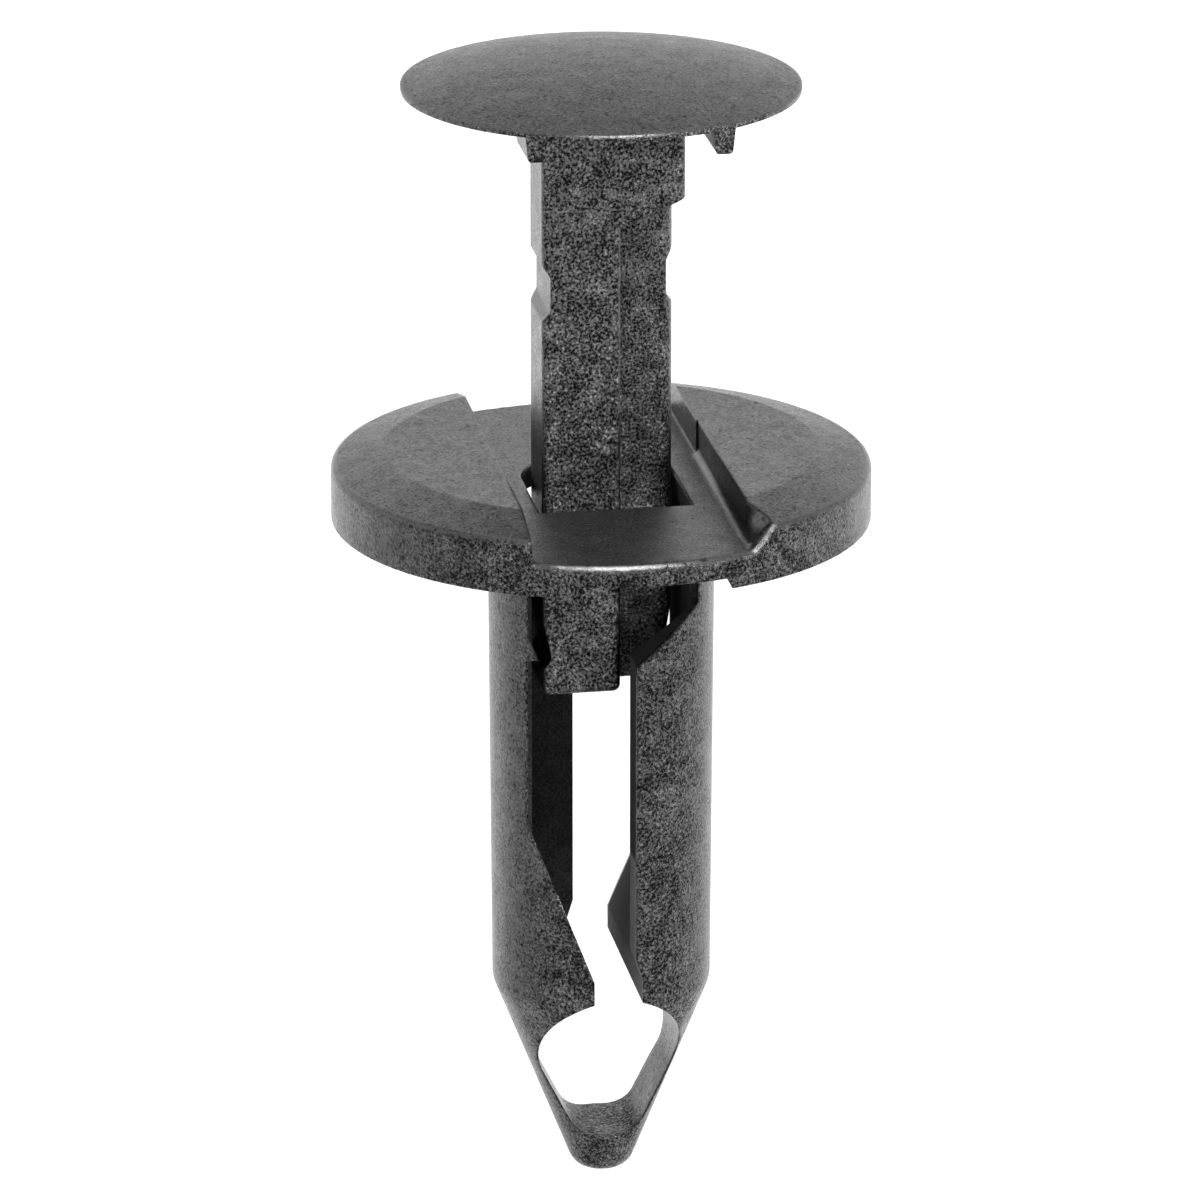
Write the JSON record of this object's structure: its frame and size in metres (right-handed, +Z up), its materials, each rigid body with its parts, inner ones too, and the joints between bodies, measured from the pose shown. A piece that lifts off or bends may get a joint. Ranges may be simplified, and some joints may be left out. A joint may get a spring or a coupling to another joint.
{
  "type": "push rivet",
  "caption": "Black plastic push rivet: a flanged socket with two sprung legs and a domed push pin, raised, that slides down and spreads the legs behind a panel.",
  "frame": {"origin": "on the rivet's own axis, at the flat underside of the flange, which seats on the panel; the tip is 26.4 mm below it", "axes": "+Z up along the rivet's own axis, from the tip to the head; the front, with one slot and flap, is -Y"},
  "size_m": [0.0202, 0.0202, 0.044],
  "materials": {
    "black_nylon": "fine grained"
  },
  "bodies": {
    "socket": {"expanding_socket": "black_nylon"},
    "pin": {"push_pin": "black_nylon"}
  },
  "joints": [
    {"name": "pin_slide", "type": "slide", "parent": "socket", "child": "pin", "axis": [0, 0, -1], "range_m": [0, 0.0138], "deforming": ["expanding_socket"]}
  ]
}
